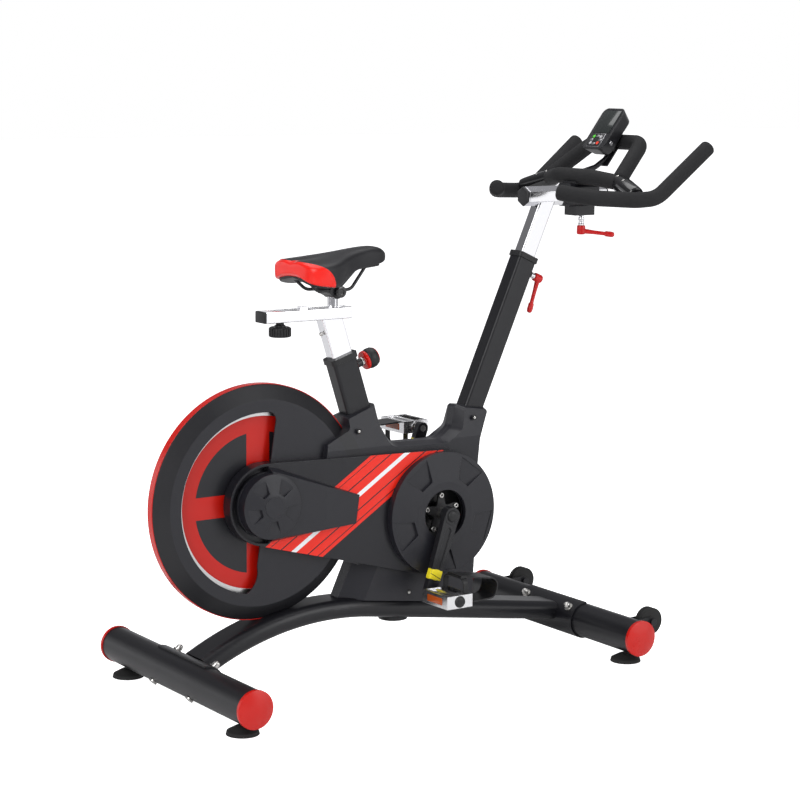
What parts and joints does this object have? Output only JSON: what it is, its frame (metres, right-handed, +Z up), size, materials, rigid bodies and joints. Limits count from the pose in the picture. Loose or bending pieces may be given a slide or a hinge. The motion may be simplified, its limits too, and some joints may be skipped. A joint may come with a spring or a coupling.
{
  "type": "indoor spin bike",
  "caption": "Belt-driven indoor cycling bike: weighted rear flywheel in a moulded cover, sliding seat and handlebar posts, cage pedals, bullhorn bars and a small console.",
  "frame": {"origin": "On the floor, under the middle of the bike's bounding box, on its centre plane", "axes": "+X forward, from the flywheel towards the handlebar; +Y to the rider's left; +Z up"},
  "size_m": [1.297, 0.608, 1.219],
  "materials": {
    "frame_paint": "satin black powder coat",
    "red_plastic": "gloss red",
    "zinc_steel": "zinc-plated",
    "rubber_black": "matte",
    "black_plastic": "matte",
    "steel": "plain machined",
    "flywheel_iron": "turned and painted",
    "pulley_plastic": "moulded",
    "belt_rubber": "ribbed",
    "crank_paint": "satin black",
    "pedal_alloy": "cast",
    "shell_plastic": "fine matte texture",
    "chrome_tube": "polished",
    "saddle_cover": "stitched synthetic leather over foam",
    "foam_black": "closed-cell foam grip",
    "gloss_black": "gloss",
    "red_metal": "gloss red",
    "screen": "display window",
    "key_green": "rubber key",
    "key_grey": "rubber key",
    "key_red": "rubber key"
  },
  "bodies": {
    "frame": {"main_beam": "frame_paint", "saddle_brackets": "frame_paint", "rear_stabilizer": "frame_paint", "front_stabilizer": "frame_paint", "end_caps": "red_plastic", "stabilizer_bolts": "zinc_steel", "beam_pad": "frame_paint", "wheel_brackets": "frame_paint", "seat_tube": "frame_paint", "head_tube": "frame_paint", "tube_collars": "black_plastic", "drive_frame": "frame_paint", "left_shell": "shell_plastic", "right_shell": "shell_plastic", "rim_trim": "red_plastic", "left_belt_cover": "shell_plastic", "right_belt_cover": "shell_plastic", "hub_covers": "shell_plastic", "crank_discs": "shell_plastic", "drive_belt": "belt_rubber"},
    "wheel": {"flywheel": "flywheel_iron", "flywheel_axle": "steel", "flywheel_pulley": "steel"},
    "cranks": {"crank_spindle": "steel", "drive_pulley": "pulley_plastic", "crank_arms": "crank_paint", "pedal_axles": "steel"},
    "pedal_right": {"right_pedal": "pedal_alloy", "right_toe_cage": "black_plastic"},
    "pedal_left": {"left_pedal": "pedal_alloy", "left_toe_cage": "black_plastic"},
    "foot_rear_right": {"rear_right_foot": "rubber_black"},
    "foot_rear_left": {"rear_left_foot": "rubber_black"},
    "foot_front_right": {"front_right_foot": "rubber_black"},
    "foot_front_left": {"front_left_foot": "rubber_black"},
    "roller_right": {"right_transport_wheel": "rubber_black"},
    "roller_left": {"left_transport_wheel": "rubber_black"},
    "brake": {"magnet_bracket": "steel"},
    "seat_column": {"seat_post": "chrome_tube"},
    "slider": {"seat_slider": "chrome_tube"},
    "rail_knob": {"slider_knob": "black_plastic"},
    "pull_pin": {"seat_pin": "black_plastic"},
    "saddle": {"saddle_clamp": "crank_paint", "saddle_shell": "black_plastic", "saddle_cushion": "saddle_cover"},
    "handlebar_column": {"handlebar_post": "chrome_tube"},
    "carriage": {"bar_carriage": "frame_paint", "handlebar_tube": "frame_paint", "grip_foam": "foam_black", "centre_foam": "foam_black", "elbow_plates": "gloss_black", "console_bracket": "frame_paint"},
    "lever_carriage": {"clamp_lever": "red_metal"},
    "lever_height": {"height_lever": "red_metal"},
    "console": {"console_case": "black_plastic", "console_screen": "screen"},
    "key_1": {"console_button_1": "key_green"},
    "key_2": {"console_button_2": "key_grey"},
    "key_3": {"console_button_3": "key_grey"},
    "key_4": {"console_button_4": "key_red"}
  },
  "joints": [
    {"name": "flywheel_spin", "type": "hinge", "parent": "frame", "child": "wheel", "pos_m": [-0.398, 0, 0.408], "axis": [0, 1, 0], "continuous": true},
    {"name": "crank_spin", "type": "hinge", "parent": "frame", "child": "cranks", "pos_m": [0.035, 0, 0.346], "axis": [0, 1, 0], "continuous": true},
    {"name": "right_pedal_spin", "type": "hinge", "parent": "cranks", "child": "pedal_right", "pos_m": [-0.01894, -0.16, 0.18479], "axis": [0, 1, 0], "continuous": true},
    {"name": "left_pedal_spin", "type": "hinge", "parent": "cranks", "child": "pedal_left", "pos_m": [0.08894, 0.16, 0.50721], "axis": [0, 1, 0], "continuous": true},
    {"name": "rear_right_foot_height", "type": "slide", "parent": "frame", "child": "foot_rear_right", "axis": [0, 0, 1], "range_m": [-0.01, 0]},
    {"name": "rear_left_foot_height", "type": "slide", "parent": "frame", "child": "foot_rear_left", "axis": [0, 0, 1], "range_m": [-0.01, 0]},
    {"name": "front_right_foot_height", "type": "slide", "parent": "frame", "child": "foot_front_right", "axis": [0, 0, 1], "range_m": [-0.01, 0]},
    {"name": "front_left_foot_height", "type": "slide", "parent": "frame", "child": "foot_front_left", "axis": [0, 0, 1], "range_m": [-0.01, 0]},
    {"name": "right_transport_wheel_spin", "type": "hinge", "parent": "frame", "child": "roller_right", "pos_m": [0.487, -0.235, 0.079], "axis": [0, 1, 0], "continuous": true},
    {"name": "left_transport_wheel_spin", "type": "hinge", "parent": "frame", "child": "roller_left", "pos_m": [0.487, 0.235, 0.079], "axis": [0, 1, 0], "continuous": true},
    {"name": "brake_magnet_swing", "type": "hinge", "parent": "frame", "child": "brake", "pos_m": [-0.15, 0, 0.352], "axis": [0, 1, 0], "range_deg": [0, 8]},
    {"name": "seat_height", "type": "slide", "parent": "frame", "child": "seat_column", "axis": [-0.309, 0, 0.9511], "range_m": [-0.05, 0.12]},
    {"name": "saddle_fore_aft", "type": "slide", "parent": "seat_column", "child": "slider", "axis": [1, 0, 0], "range_m": [-0.03, 0.015]},
    {"name": "rail_knob_turn", "type": "hinge", "parent": "slider", "child": "rail_knob", "pos_m": [-0.339, 0, 0.76], "axis": [0, 0, 1], "range_deg": [-180, 180]},
    {"name": "saddle_tilt", "type": "hinge", "parent": "slider", "child": "saddle", "pos_m": [-0.209, 0, 0.838], "axis": [0, 1, 0], "range_deg": [-10, 10]},
    {"name": "pull_pin_slide", "type": "slide", "parent": "frame", "child": "pull_pin", "axis": [0.9511, 0, 0.309], "range_m": [0, 0.01], "stiffness_N_per_m": 800, "springref_m": -0.006},
    {"name": "handlebar_height", "type": "slide", "parent": "frame", "child": "handlebar_column", "axis": [0.4067, 0, 0.9135], "range_m": [-0.05, 0.15]},
    {"name": "handlebar_fore_aft", "type": "slide", "parent": "handlebar_column", "child": "carriage", "axis": [1, 0, 0], "range_m": [-0.03, 0.03]},
    {"name": "carriage_lever_turn", "type": "hinge", "parent": "carriage", "child": "lever_carriage", "pos_m": [0.461, 0, 0.95], "axis": [0, 0, 1], "range_deg": [-90, 90]},
    {"name": "height_lever_turn", "type": "hinge", "parent": "frame", "child": "lever_height", "pos_m": [0.32226, 0, 0.84747], "axis": [0.9135, 0, -0.4067], "range_deg": [-90, 90]},
    {"name": "console_tilt", "type": "hinge", "parent": "carriage", "child": "console", "pos_m": [0.54078, 0, 1.13168], "axis": [0, 1, 0], "range_deg": [-8, 5]},
    {"name": "console_key_1_press", "type": "slide", "parent": "console", "child": "key_1", "axis": [0.788, 0, -0.6157], "range_m": [0, 0.0015], "stiffness_N_per_m": 300, "springref_m": -0.002},
    {"name": "console_key_2_press", "type": "slide", "parent": "console", "child": "key_2", "axis": [0.788, 0, -0.6157], "range_m": [0, 0.0015], "stiffness_N_per_m": 300, "springref_m": -0.002},
    {"name": "console_key_3_press", "type": "slide", "parent": "console", "child": "key_3", "axis": [0.788, 0, -0.6157], "range_m": [0, 0.0015], "stiffness_N_per_m": 300, "springref_m": -0.002},
    {"name": "console_key_4_press", "type": "slide", "parent": "console", "child": "key_4", "axis": [0.788, 0, -0.6157], "range_m": [0, 0.0015], "stiffness_N_per_m": 300, "springref_m": -0.002}
  ],
  "couplings": [
    {"joint": "crank_spin", "follows": "flywheel_spin", "ratio": 0.3125}
  ]
}
